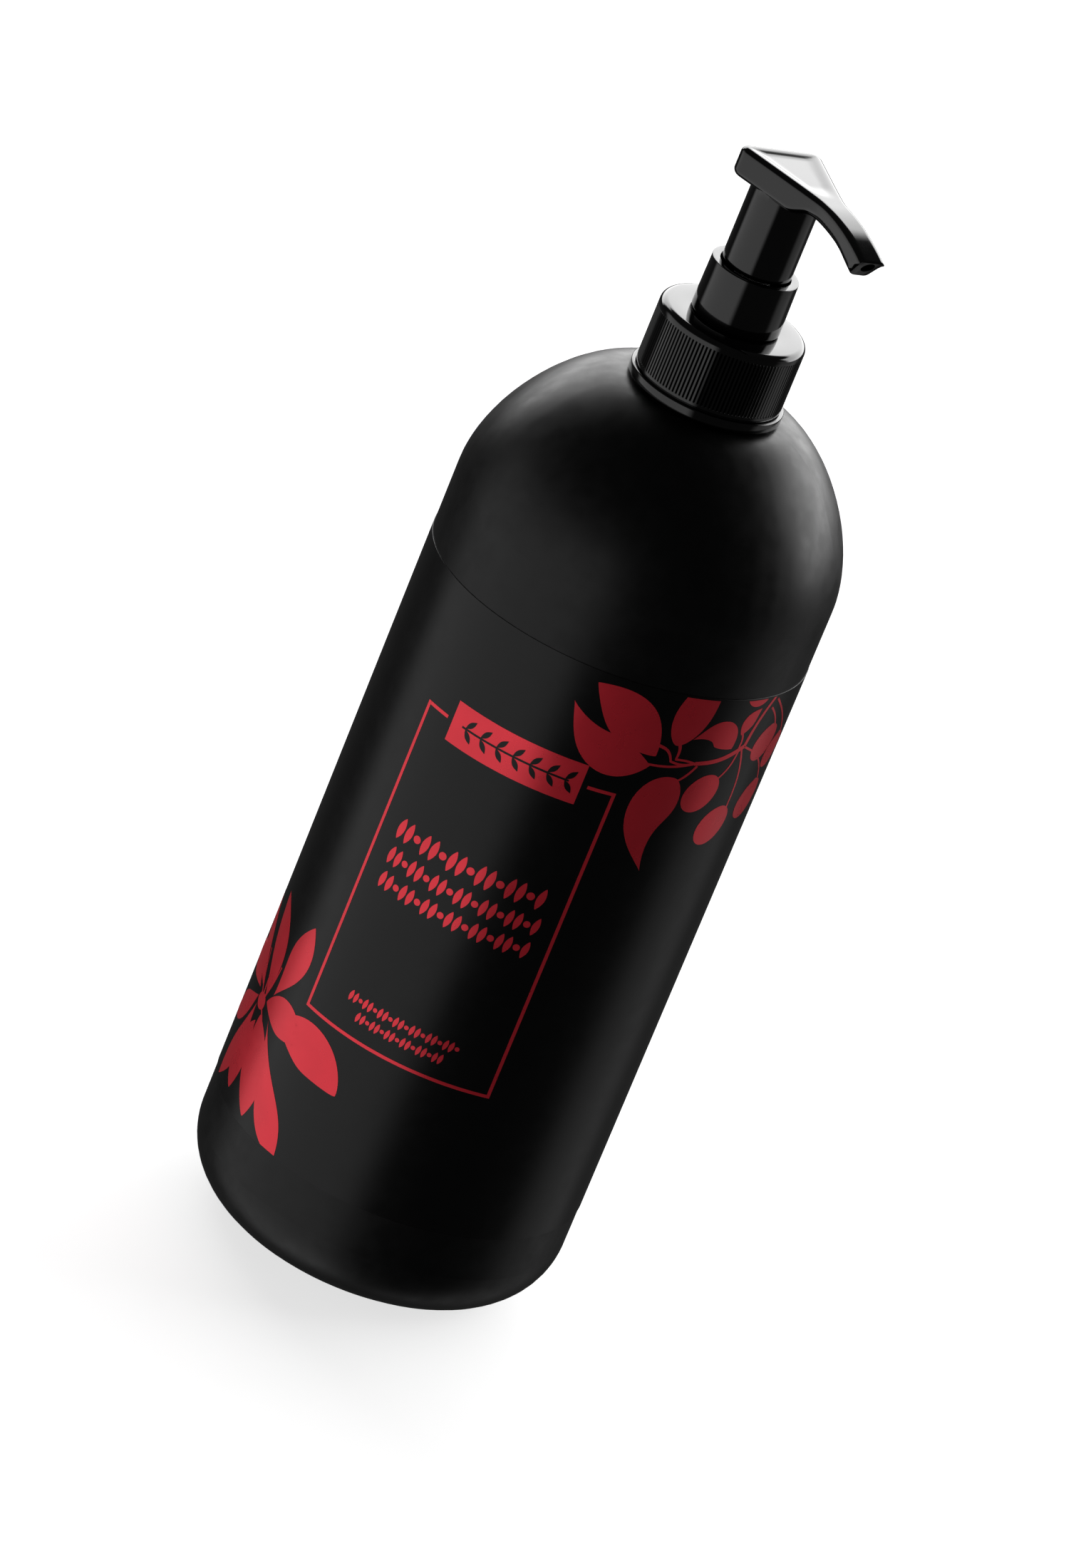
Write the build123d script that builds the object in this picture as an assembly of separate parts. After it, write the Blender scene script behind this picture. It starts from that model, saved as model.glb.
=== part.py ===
from build123d import *

from math import radians, tan
import os

# Pump oil bottle: a one-litre bottle with a film label and a push pump.
# Millimetres, +Z up. The origin is the centre of the bottle's foot, and the label's front faces -Y.

# Bottle
body_radius = 42.0
body_wall = 1.2
foot_corner_radius = 15.3
foot_ring_width = 5.0
foot_push_up = 2.5
foot_dome_middle = 0.6
shoulder_start = 175.3
shoulder_rise = 33.5
shoulder_fullness = 0.437
shoulder_flat = 0.2
neck_wall = 1.75
neck_foot_height = 4.4

# Thread between the neck and the closure
thread_pitch = 25.4 / 6
neck_thread_turns = 1.5
neck_thread_drop = 3.65
closure_thread_turns = 1.25
closure_thread_lag_turns = 0.1
thread_depth = 1.1
thread_foot_width = 2.2
thread_crest_width = 0.9
thread_tip_gap = 0.2
thread_flank_gap = 0.1
thread_sink = 0.3

# Label
label_bottom = 25.7
label_top = 161.0
label_film = 0.12
label_overlap_angle = 8.0

# Closure
closure_wall = 2.05
closure_top_wall = 1.45
closure_foot_gap = 0.6
closure_rim_radius = 1.5
flute_count = 120
flute_depth = 0.3
flute_width = 0.45
plain_band_height = 1.9
flute_foot_band = 0.7
foot_ring_height = 2.2
foot_ring_stand_out = 0.8
foot_groove_height = 0.35
foot_groove_depth = 0.35

# Gasket and housing
gasket_thickness = 1.0
flange_thickness = 1.2
flange_gap = 0.05
cup_wall = 1.4
cup_gap = 0.9
barrel_bore_radius = 6.75
barrel_wall = 1.1
ledge_width = 0.85
valve_hole_radius = 1.6
valve_hole_length = 2.0
tail_length = 12.0
tail_wall = 1.1
vent_radius = 0.5
vent_below_cup = 1.6

# Collar
collar_wall = 1.75
collar_draft = 0.2
collar_height = 12.0
collar_foot_edge = 0.5
collar_gap = 0.15
plug_wall = 0.85
plug_gap = 0.3
collar_floor = 1.6

# Head
stroke = 14.0
skirt_radius = 7.55
skirt_wall = 1.2
head_clearance = 3.2
skirt_floor_gap = 0.6
skirt_edge = 0.9
skirt_gap = 0.2
skirt_entry = 0.15
head_thickness = 6.5
pad_back_overhang = 0.75
pad_side_overhang = 3.15
pad_corner_radius = 3.2
spout_root_reach = 7.7
spout_root_half_width = 3.44
spout_tip = 34.4
spout_tip_half_width = 3.15
spout_blend_radius = 30.0
spout_thickness = 4.4
spout_bend_after_root = 1.75
spout_bend_radius = 50.0
spout_undercut = 3.0
spout_tip_share = 0.86
underside_start_gap = 0.2
underside_peak_before_root = 1.5
underside_end_slope = 0.3
dish_rim = 1.7
dish_depth = 0.6
dish_end_before_root = 2.25
top_edge_radius = 1.2
under_edge_radius = 1.3
channel_radius = 1.4
channel_end_share = 0.45
socket_wall = 1.2
socket_depth = 11.2
head_join = 1.0
dish_wall_angle = 50.0
dish_corner_share = 0.8
dish_front_share = 0.7
spout_azimuth = -40.6

# Stem, seal, piston and plug
stem_radius = 4.0
stem_wall = 1.6
stem_end_gap = 1.0
slide_gap = 0.05
seal_thickness = 2.8
seal_gap = 0.1
seal_lip_foot = 1.6
seal_lip_tip = 0.9
seal_lip_share = 0.8
seal_groove_share = 0.45
stem_flange_width = 1.5
stem_flange_height = 1.8
stem_flange_gap = 0.2
piston_height = 9.0
piston_web_wall = 1.4
piston_lip_height = 1.6
piston_lip_flare = 0.8
piston_lip_rise = 0.6
piston_cup_share = 0.7
piston_cup_slope = 0.35
piston_float = 1.0
piston_nose_height = 2.0
piston_nose_wall = 0.9
port_radius = 0.7
port_height = 0.95
plug_flange_margin = 0.45
plug_flange_height = 2.4
plug_boss_length = 2.5
plug_boss_gap = 0.25
plug_rib = 1.2
plug_rib_height = 6.0

# Spring, spring seat, ball and dip tube
spring_wire = 0.9
spring_flange_inset = 0.3
spring_coils = 9
spring_packed_length = 11.0
spring_end_gap = 0.05
seat_height = 3.4
seat_ring_lap = 0.35
seat_bar = 1.3
ball_radius = 2.5
ball_lift = 1.5
ball_gap = 0.02
tube_radius = 3.5
tube_wall = 1.0
tube_foot_gap = 4.0
tube_cut_angle = 25.0

# Cutting tools reach this far past what they cut, and faces steeper than this stay sharp-edged
cut_margin = 2.0
steep = 0.85
seam_width = 0.01

# Heights of the stack, from the foot upwards
shoulder_top = shoulder_start + shoulder_rise
neck_thread_start = shoulder_top + neck_foot_height
neck_top = neck_thread_start + neck_thread_turns * thread_pitch + neck_thread_drop
flange_bottom = neck_top + gasket_thickness
flange_top = flange_bottom + flange_thickness
closure_inside_top = flange_top + flange_gap
closure_top = closure_inside_top + closure_top_wall
closure_bottom = shoulder_top + closure_foot_gap
collar_bottom = closure_top + collar_gap
collar_top = collar_bottom + collar_height
skirt_end = collar_top - skirt_entry
head_under = collar_top + stroke + head_clearance
head_top = head_under + head_thickness
collar_floor_top = skirt_end - stroke - skirt_floor_gap
collar_end = collar_floor_top - collar_floor
seal_top = collar_end - seal_gap
seal_bottom = seal_top - seal_thickness
barrel_top = seal_bottom - seal_gap
stem_flange_top = barrel_top - stem_flange_gap
stem_flange_bottom = stem_flange_top - stem_flange_height
piston_top = stem_flange_bottom - piston_float - slide_gap
piston_bottom = piston_top - piston_height
plug_top = piston_bottom - slide_gap
plug_bottom = plug_top - plug_flange_height
stem_top = head_under - stem_end_gap
spring_top = plug_bottom - spring_end_gap
spring_bottom = spring_top - stroke - spring_packed_length
seat_top = spring_bottom - spring_end_gap
ledge_height = seat_top - seat_height

# Radii that fit one another, from the stem outwards
guide_radius = stem_radius + slide_gap
stem_bore_radius = stem_radius - stem_wall
stem_flange_radius = stem_radius + stem_flange_width
piston_web_radius = stem_radius + piston_web_wall
piston_nose_radius = guide_radius + piston_nose_wall
plug_flange_radius = piston_nose_radius + plug_flange_margin
collar_bore_radius = skirt_radius + skirt_gap
collar_top_radius = collar_bore_radius + collar_wall
collar_foot_radius = collar_top_radius + collar_draft
plug_radius = collar_bore_radius + plug_wall
cup_radius = plug_radius + cup_wall
barrel_radius = barrel_bore_radius + barrel_wall
spring_radius = plug_flange_radius - spring_flange_inset - spring_wire / 2
neck_bore_radius = cup_radius + cup_gap
neck_radius = neck_bore_radius + neck_wall
thread_crest_radius = neck_radius + thread_depth
closure_bore_radius = thread_crest_radius + thread_tip_gap
closure_crest_radius = neck_radius + thread_tip_gap
flange_radius = neck_radius
closure_radius = closure_bore_radius + closure_wall
shoulder_eye = closure_radius + shoulder_flat

# The valve at the barrel's foot, and the tail that holds the dip tube
valve_top_radius = barrel_bore_radius - ledge_width
valve_foot = ledge_height - (valve_top_radius - valve_hole_radius)
ball_centre = valve_foot - valve_hole_radius + (ball_radius + ball_gap) * 2**0.5
socket_top = valve_foot - valve_hole_length
tail_bottom = socket_top - tail_length
tail_radius = tube_radius + tail_wall
tube_bottom = foot_push_up + body_wall + tube_foot_gap

# The head's outline
pad_back = skirt_radius + pad_back_overhang
pad_half_width = skirt_radius + pad_side_overhang
spout_root = skirt_radius + spout_root_reach
spout_bend_start = spout_root + spout_bend_after_root
dish_end = spout_root - dish_end_before_root


def turned(*points):
    """A solid turned about Z from its half outline, given as (radius, height) points."""
    return revolve(Plane.XZ * make_face(Polyline(*points, close=True)), Axis.Z)


def tube(outer, inner, low, high):
    return turned((inner, low), (outer, low), (outer, high), (inner, high))


def rod(radius, low, high):
    return Pos(0, 0, low) * extrude(Circle(radius), high - low)


def thread_ridge(foot, crest, start, turns, angle):
    """One helical ridge. foot and crest are radii, and foot is sunk into its wall."""
    out = 1 if crest > foot else -1
    sunk = foot - out * thread_sink
    section = Polyline(
        (sunk, start - thread_foot_width / 2),
        (foot, start - thread_foot_width / 2),
        (crest, start - thread_crest_width / 2),
        (crest, start + thread_crest_width / 2),
        (foot, start + thread_foot_width / 2),
        (sunk, start + thread_foot_width / 2),
        close=True,
    )
    path = Helix(thread_pitch, turns * thread_pitch, foot, center=(0, 0, start))
    ridge = sweep(Plane.XZ * make_face(section), path=path, is_frenet=True)
    return Rot(0, 0, angle) * ridge


def shoulder_curve(wall):
    """The shoulder's outline, wall deep inside the outer face."""
    side = body_radius - wall
    top = shoulder_top - wall
    rise = top - shoulder_start
    return Bezier(
        (side, shoulder_start),
        (side, shoulder_start + shoulder_fullness * rise),
        (shoulder_eye + shoulder_fullness * (side - shoulder_eye), top),
        (shoulder_eye, top),
    )


def foot_curve(wall):
    """The foot's outline from the axis to the straight side, wall deep inside the outer face."""
    corner = foot_corner_radius - wall
    ring_out = body_radius - foot_corner_radius
    ring_in = ring_out - foot_ring_width
    dome = ThreePointArc(
        (0, foot_push_up + wall),
        (ring_in * foot_dome_middle, foot_push_up * (1 - foot_dome_middle**2) + wall),
        (ring_in, wall),
    )
    flat = Line((ring_in, wall), (ring_out, wall))
    return [dome, flat, CenterArc((ring_out, foot_corner_radius), corner, 270, 90)]


def bottle_shell():
    """The blown bottle: an even wall, a pushed-up foot and a threaded neck."""
    inner_side = body_radius - body_wall
    outer = foot_curve(0)
    outer += [Line((body_radius, foot_corner_radius), (body_radius, shoulder_start))]
    outer += [shoulder_curve(0)]
    neck = Polyline(
        (shoulder_eye, shoulder_top),
        (neck_radius, shoulder_top),
        (neck_radius, neck_top),
        (neck_bore_radius, neck_top),
        (neck_bore_radius, shoulder_top - body_wall),
        (shoulder_eye, shoulder_top - body_wall),
    )
    inner = foot_curve(body_wall)
    inner += [Line((inner_side, foot_corner_radius), (inner_side, shoulder_start))]
    inner += [shoulder_curve(body_wall)]
    axis = Line((0, foot_push_up), (0, foot_push_up + body_wall))
    face = make_face([*outer, neck, *inner, axis])
    shell = revolve(Plane.XZ * face, Axis.Z)
    ridge = thread_ridge(neck_radius, thread_crest_radius, neck_thread_start, neck_thread_turns, 0)
    return shell + ridge


def wrap_label():
    """A film round the body, whose ends overlap at the back."""
    film = body_radius + label_film
    band = tube(film, body_radius, label_bottom, label_top)
    lap = tube(film + label_film, film - label_film / 2, label_bottom, label_top)
    wedge_reach = 2 * body_radius
    corner = Vector(wedge_reach, 0).rotate(Axis.Z, 90 - label_overlap_angle / 2)
    other = Vector(wedge_reach, 0).rotate(Axis.Z, 90 + label_overlap_angle / 2)
    wedge = make_face(Polyline((0, 0), (corner.X, corner.Y), (other.X, other.Y), close=True))
    return band + (lap & extrude(wedge, label_top + cut_margin))


def closure():
    ring_top = closure_bottom + foot_ring_height
    groove_top = ring_top + foot_groove_height
    body = turned(
        (closure_bore_radius, closure_bottom),
        (closure_radius + foot_ring_stand_out, closure_bottom),
        (closure_radius + foot_ring_stand_out, ring_top),
        (closure_radius - foot_groove_depth, ring_top),
        (closure_radius - foot_groove_depth, groove_top),
        (closure_radius, groove_top),
        (closure_radius, closure_top),
        (plug_radius + plug_gap, closure_top),
        (plug_radius + plug_gap, closure_inside_top),
        (closure_bore_radius, closure_inside_top),
    )
    top_circles = body.edges().filter_by(GeomType.CIRCLE).group_by(Axis.Z)[-1]
    body = fillet(top_circles.sort_by(SortBy.RADIUS)[-1], closure_rim_radius)
    flute_low = groove_top + flute_foot_band
    flute_high = closure_top - plain_band_height
    groove = make_face(
        Polyline(
            (closure_radius - flute_depth, 0),
            (closure_radius + flute_depth, flute_width),
            (closure_radius + flute_depth, -flute_width),
            close=True,
        )
    )
    cutter = Pos(0, 0, flute_low) * extrude(groove, flute_high - flute_low)
    body -= [Rot(0, 0, i * 360 / flute_count) * cutter for i in range(flute_count)]
    drop = (thread_foot_width + thread_crest_width) / 2 + thread_flank_gap
    start = neck_thread_start + closure_thread_lag_turns * thread_pitch - drop
    ridge = thread_ridge(
        closure_bore_radius,
        closure_crest_radius,
        start,
        closure_thread_turns,
        360 * closure_thread_lag_turns,
    )
    return body + ridge


def neck_gasket():
    return tube(neck_radius, cup_radius + plug_gap, neck_top, flange_bottom)


def pump_housing():
    body = turned(
        (cup_radius, flange_bottom),
        (flange_radius, flange_bottom),
        (flange_radius, flange_top),
        (plug_radius, flange_top),
        (plug_radius, barrel_top),
        (barrel_bore_radius, barrel_top),
        (barrel_bore_radius, ledge_height),
        (valve_top_radius, ledge_height),
        (valve_hole_radius, valve_foot),
        (valve_hole_radius, socket_top),
        (tube_radius, socket_top),
        (tube_radius, tail_bottom),
        (tail_radius, tail_bottom),
        (tail_radius, valve_foot - tail_wall),
        (barrel_radius, ledge_height),
        (barrel_radius, barrel_top - cup_wall - (cup_radius - barrel_radius)),
        (cup_radius, barrel_top - cup_wall),
    )
    vent_height = barrel_top - cup_wall - (cup_radius - barrel_radius) - vent_below_cup
    vent = Pos(0, 0, vent_height) * Rot(0, 90, 0) * extrude(Circle(vent_radius), 2 * barrel_radius)
    return body - vent


def collar():
    body = turned(
        (guide_radius, collar_end),
        (plug_radius, collar_end),
        (plug_radius, collar_bottom),
        (collar_foot_radius, collar_bottom),
        (collar_top_radius, collar_top),
        (collar_bore_radius, collar_top),
        (collar_bore_radius, collar_floor_top),
        (guide_radius, collar_floor_top),
    )
    foot = body.edges().filter_by(GeomType.CIRCLE).sort_by(SortBy.RADIUS)[-1]
    return fillet(foot, collar_foot_edge)


def stem_seal():
    """A washer with a wiping lip that leans up the stem."""
    lip = guide_radius
    return turned(
        (lip, seal_bottom),
        (plug_radius - seal_gap, seal_bottom),
        (plug_radius - seal_gap, seal_top),
        (lip + seal_lip_foot, seal_top),
        (lip + seal_lip_tip, seal_bottom + seal_thickness * seal_groove_share),
        (lip, seal_bottom + seal_thickness * seal_lip_share),
    )


def spout_height(reach, drop):
    """The height of the spout's top at a reach from the axis, drop below it."""
    past = max(reach - spout_bend_start, 0)
    return head_top - drop - past**2 / (2 * spout_bend_radius)


def pad_and_spout():
    plan = Polyline(
        (-pad_back, -pad_half_width),
        (spout_root, -spout_root_half_width),
        (spout_tip + cut_margin, -spout_tip_half_width),
        (spout_tip + cut_margin, spout_tip_half_width),
        (spout_root, spout_root_half_width),
        (-pad_back, pad_half_width),
        close=True,
    )
    plan = make_face(plan)
    corners = plan.vertices().group_by(Axis.X)
    plan = fillet(corners[0], pad_corner_radius)
    plan = fillet(plan.vertices().group_by(Axis.X)[-2], spout_blend_radius)
    tip_top = spout_height(spout_tip, 0)
    tip_under = spout_height(spout_tip, spout_thickness * spout_tip_share)
    bend_middle = (spout_tip + spout_bend_start) / 2
    bend_slope = (spout_tip - spout_bend_start) / spout_bend_radius
    under_start = skirt_radius + underside_start_gap
    under_peak = spout_root - underside_peak_before_root
    side = [
        Line((spout_tip - spout_undercut, tip_under), (spout_tip, tip_top)),
        Spline(
            (spout_tip, tip_top),
            (bend_middle, spout_height(bend_middle, 0)),
            (spout_bend_start, head_top),
            tangents=[(-1, bend_slope), (-1, 0)],
        ),
        Polyline(
            (spout_bend_start, head_top),
            (-pad_back - cut_margin, head_top),
            (-pad_back - cut_margin, head_under),
            (under_start, head_under),
        ),
        Spline(
            (under_start, head_under),
            (under_peak, spout_height(under_peak, spout_thickness)),
            (spout_tip - spout_undercut, tip_under),
            tangents=[(1, 0), (1, -underside_end_slope)],
        ),
    ]
    wing = pad_half_width + cut_margin
    profile = Pos(0, wing, 0) * extrude(Plane.XZ * make_face(side), 2 * wing)
    low = head_under - head_thickness
    block = extrude(Pos(0, 0, low) * plan, 3 * head_thickness) & profile
    under = block.faces().filter_by(lambda face: face.normal_at().Z < -steep)
    block = fillet(outer_edges(under), under_edge_radius)
    top = block.faces().filter_by(lambda face: face.normal_at().Z > steep)
    return fillet(outer_edges(top), top_edge_radius)


def outer_edges(faces):
    """The edges along the sides and the back, without the seams that cross the spout."""
    kept = [e for e in faces.edges() if abs(e.center().Y) > seam_width or e.center().X < 0]
    return ShapeList(kept)


def pad_half(reach):
    """Half the pad's width at a reach from the axis."""
    share = (reach + pad_back) / (spout_root + pad_back)
    return pad_half_width + share * (spout_root_half_width - pad_half_width)


def thumb_dish():
    """The shallow recess in the pad, a rim's width inside its edge."""
    back = dish_rim - pad_back
    rear_half = pad_half(back) - dish_rim
    front_half = pad_half(dish_end) - dish_rim
    plan = make_face(
        Polyline(
            (back, -rear_half),
            (dish_end, -front_half),
            (dish_end, front_half),
            (back, rear_half),
            close=True,
        )
    )
    corners = plan.vertices().group_by(Axis.X)
    plan = fillet(corners[0], pad_corner_radius * dish_corner_share)
    plan = fillet(plan.vertices().group_by(Axis.X)[-1], front_half * dish_front_share)
    return Pos(0, 0, head_top) * extrude(plan, -dish_depth, taper=dish_wall_angle)


def flow_channel():
    """The bore from the stem's socket to the spout's end."""
    elbow = (head_under + head_top) / 2
    rise = rod(stem_bore_radius, stem_top - cut_margin, elbow)
    end_height = spout_height(spout_tip, spout_thickness * channel_end_share)
    reach = spout_tip + cut_margin
    tilt = Vector(reach, 0, end_height - elbow)
    across = Plane(origin=(0, 0, elbow), z_dir=tilt)
    return rise + across * extrude(Circle(channel_radius), tilt.length)


def head_body():
    """The thumb pad, spout, skirt and stem socket in one moulding."""
    skirt = rod(skirt_radius, skirt_end, head_under + head_join)
    skirt = fillet(skirt.edges().filter_by(GeomType.CIRCLE).sort_by(Axis.Z)[0], skirt_edge)
    skirt -= rod(skirt_radius - skirt_wall, skirt_end - cut_margin, head_under)
    socket_end = stem_top - socket_depth
    socket = tube(stem_radius + socket_wall, stem_radius, socket_end, head_under + head_join)
    body = pad_and_spout() - thumb_dish() + skirt + socket
    body -= rod(stem_radius, socket_end - cut_margin, stem_top)
    body -= flow_channel()
    return Rot(0, 0, spout_azimuth) * body


def stem():
    """The hollow stem, with the shoulder that pushes the piston down and two ports above the plug."""
    body = turned(
        (stem_bore_radius, plug_top),
        (stem_radius, plug_top),
        (stem_radius, stem_flange_bottom),
        (stem_flange_radius, stem_flange_bottom),
        (stem_flange_radius, stem_flange_top),
        (stem_radius, stem_flange_top),
        (stem_radius, stem_top),
        (stem_bore_radius, stem_top),
    )
    port = extrude(Circle(port_radius), 4 * stem_radius)
    port = Pos(0, 2 * stem_radius, plug_top + port_height) * Rot(90, 0, 0) * port
    return body - port


def piston():
    """The double-lipped seal. Its nose shuts on the plug and covers the stem's ports."""
    lip = barrel_bore_radius - slide_gap
    nose_top = piston_bottom + piston_nose_height
    low_lip = nose_top - piston_lip_rise
    cup_floor = piston_top - piston_lip_height * piston_cup_share
    return turned(
        (guide_radius, piston_bottom),
        (piston_nose_radius, piston_bottom),
        (piston_nose_radius, nose_top),
        (lip - piston_lip_flare, low_lip),
        (lip, low_lip),
        (lip, low_lip + piston_lip_height),
        (piston_web_radius, nose_top + piston_lip_height),
        (piston_web_radius, piston_top - piston_lip_height),
        (lip, piston_top - piston_lip_height),
        (lip, piston_top),
        (piston_web_radius + piston_cup_slope, piston_top),
        (piston_web_radius - piston_cup_slope, cup_floor),
        (guide_radius, cup_floor),
    )


def piston_plug():
    """The plug pressed up into the stem: ribs, a flange that shuts the ports, and the spring's boss."""
    boss_radius = spring_radius - spring_wire / 2 - plug_boss_gap
    body = rod(plug_flange_radius, plug_bottom, plug_top)
    body += rod(boss_radius, plug_bottom - plug_boss_length, plug_bottom)
    rib = Box(2 * stem_radius, plug_rib, plug_rib_height)
    ribs = Pos(0, 0, plug_top + plug_rib_height / 2) * (rib + Rot(0, 0, 90) * rib)
    return body + (ribs & rod(stem_bore_radius, plug_top, plug_top + plug_rib_height))


def return_spring():
    """A round-wire compression spring, cut square at both ends."""
    half = spring_wire / 2
    low = spring_bottom + half
    high = spring_top - half
    rise = high - low
    path = Helix(rise / spring_coils, rise, spring_radius, center=(0, 0, low))
    start = Plane(origin=path @ 0, z_dir=path % 0)
    return sweep(start * Circle(half), path=path, is_frenet=True)


def spring_seat():
    """The ring that the spring stands on, with a crossbar that keeps the ball near its seat."""
    ring_inner = spring_radius - seat_ring_lap
    ring_outer = barrel_bore_radius - slide_gap
    ring = tube(ring_outer, ring_inner, ledge_height, seat_top)
    bar_low = ball_centre + ball_radius + ball_lift + slide_gap
    bar = Box(ring_inner + ring_outer, seat_bar, seat_top - bar_low - spring_wire)
    bar = Pos(0, 0, (seat_top - spring_wire + bar_low) / 2) * bar
    return ring + bar + Rot(0, 0, 90) * bar


def inlet_ball():
    return Pos(0, 0, ball_centre) * Sphere(ball_radius)


def dip_tube():
    """The tube down to the bottle's foot, cut on a slant so that it can't seal against it."""
    body = tube(tube_radius, tube_radius - tube_wall, tube_bottom, socket_top)
    knife = Box(6 * tube_radius, 6 * tube_radius, 4 * tube_radius)
    low = tube_bottom + tube_radius * tan(radians(tube_cut_angle))
    return body - Pos(0, 0, low) * Rot(0, tube_cut_angle, 0) * Pos(0, 0, -2 * tube_radius) * knife


nodes = {
    "bottle_shell": bottle_shell,
    "wrap_label": wrap_label,
    "closure": closure,
    "neck_gasket": neck_gasket,
    "pump_housing": pump_housing,
    "collar": collar,
    "stem_seal": stem_seal,
    "head_body": head_body,
    "stem": stem,
    "piston": piston,
    "piston_plug": piston_plug,
    "return_spring": return_spring,
    "spring_seat": spring_seat,
    "inlet_ball": inlet_ball,
    "dip_tube": dip_tube,
}

os.makedirs("parts", exist_ok=True)
for name, make in nodes.items():
    solid = make()
    solid.label = name
    export_step(solid, f"parts/{name}.step")
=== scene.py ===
"""Pump oil bottle: its finishes, its printed label and its finely made pump pieces."""

import math

import bmesh
import bpy
import numpy as np
from bpy.props import FloatProperty, FloatVectorProperty, IntProperty, PointerProperty
from mathutils import Matrix, Vector


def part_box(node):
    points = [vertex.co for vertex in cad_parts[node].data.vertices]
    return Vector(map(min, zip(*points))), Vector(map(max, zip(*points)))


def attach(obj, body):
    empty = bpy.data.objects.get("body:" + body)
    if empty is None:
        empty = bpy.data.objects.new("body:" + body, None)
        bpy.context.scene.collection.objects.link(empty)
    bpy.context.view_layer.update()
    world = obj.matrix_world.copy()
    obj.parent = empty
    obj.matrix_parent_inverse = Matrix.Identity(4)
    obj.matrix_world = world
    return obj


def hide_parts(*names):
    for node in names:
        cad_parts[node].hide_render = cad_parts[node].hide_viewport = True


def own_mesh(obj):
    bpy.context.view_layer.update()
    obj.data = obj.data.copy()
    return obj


bl_info = {
    "name": "Pump Oil Bottle",
    "version": (1, 0, 0),
    "blender": (4, 5, 0),
    "location": "3D View > Sidebar > Oil Bottle",
    "description": "Makes the label, print, pump pieces, finishes and stage of a pump oil bottle",
    "category": "Object",
}

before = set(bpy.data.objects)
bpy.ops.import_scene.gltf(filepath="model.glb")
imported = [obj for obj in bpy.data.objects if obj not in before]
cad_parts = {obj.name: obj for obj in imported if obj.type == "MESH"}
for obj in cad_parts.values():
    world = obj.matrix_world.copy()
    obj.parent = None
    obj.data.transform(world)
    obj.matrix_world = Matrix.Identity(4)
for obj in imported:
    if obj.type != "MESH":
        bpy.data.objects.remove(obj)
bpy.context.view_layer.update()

MM = 0.001
INCH = 25.4
ROUND_STEPS = 8  # straight pieces in a rounded corner of an outline


def millimetres(node):
    """A frame node's lowest and highest corner, in millimetres."""
    low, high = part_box(node)
    return low / MM, high / MM


closure_low, closure_high = millimetres("closure")
collar_low, collar_high = millimetres("collar")
label_low, label_high = millimetres("wrap_label")
head_low, head_high = millimetres("head_body")
spring_low, spring_high = millimetres("return_spring")
shell_top = millimetres("bottle_shell")[1].z
stem_top = millimetres("stem")[1].z


def length(name, description, millimetre_value):
    """A size that is typed and shown as a length."""
    return FloatProperty(
        name=name,
        description=description,
        default=millimetre_value * MM,
        min=0.0,
        precision=5,
        subtype="DISTANCE",
        unit="LENGTH",
    )


def angle(name, description, degrees):
    """An angle that is typed and shown in degrees."""
    return FloatProperty(
        name=name,
        description=description,
        default=math.radians(degrees),
        subtype="ANGLE",
        unit="ROTATION",
    )


def colour(name, description, value):
    """A colour that is picked from the colour wheel."""
    return FloatVectorProperty(
        name=name,
        description=description,
        default=value,
        min=0.0,
        max=1.0,
        size=3,
        subtype="COLOR",
    )


def amount(name, description, value, **settings):
    """A plain number, such as a brightness or a count of turns."""
    return FloatProperty(name=name, description=description, default=value, min=0.0, **settings)


class LabelSizes(bpy.types.PropertyGroup):
    """Sizes of the film and of what is printed on it."""

    film: length("Film", "Thickness of the label film", 0.12)
    lap: angle("Lap", "How far the film's end lies over its start, at the back", 8)
    ink: length("Ink", "Height of the print over the film", 0.035)
    frame_half: angle("Frame half width", "From the front's middle to the frame's upright", 31.3)
    frame_gap: angle("Frame gap", "From the front's middle to the ends of the frame's top line", 22.8)
    frame_foot: length("Frame foot", "Height of the frame's bottom line", 59.9)
    frame_top: length("Frame top", "Height of the frame's top line", 135.7)
    frame_line: length("Frame line", "Width of the frame's line", 0.75)
    banner_half: angle("Banner half width", "From the front's middle to the banner's end", 21.0)
    banner_foot: length("Banner foot", "Height of the banner's lower edge", 130.7)
    banner_top: length("Banner top", "Height of the banner's upper edge", 140.1)


class ClosureSizes(bpy.types.PropertyGroup):
    """Sizes of the ribbed closure's skirt."""

    flutes: IntProperty(name="Flutes", description="Grooves round the skirt", default=120, min=12)
    flute_width: length("Flute width", "Width of one groove", 0.42)
    flute_depth: length("Flute depth", "Depth of one groove", 0.5)
    plain_band: length("Plain band", "Smooth band above the grooves", 1.9)
    foot_band: length("Foot band", "Smooth band below the grooves", 0.7)
    foot_ring: length("Foot ring", "Height of the ring at the foot", 2.2)
    foot_step: length("Foot step", "How far the foot ring stands out", 0.8)
    groove: length("Groove", "Depth and height of the groove above the foot ring", 0.35)
    rim: length("Rim", "Rounding of the upper rim", 1.5)


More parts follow.
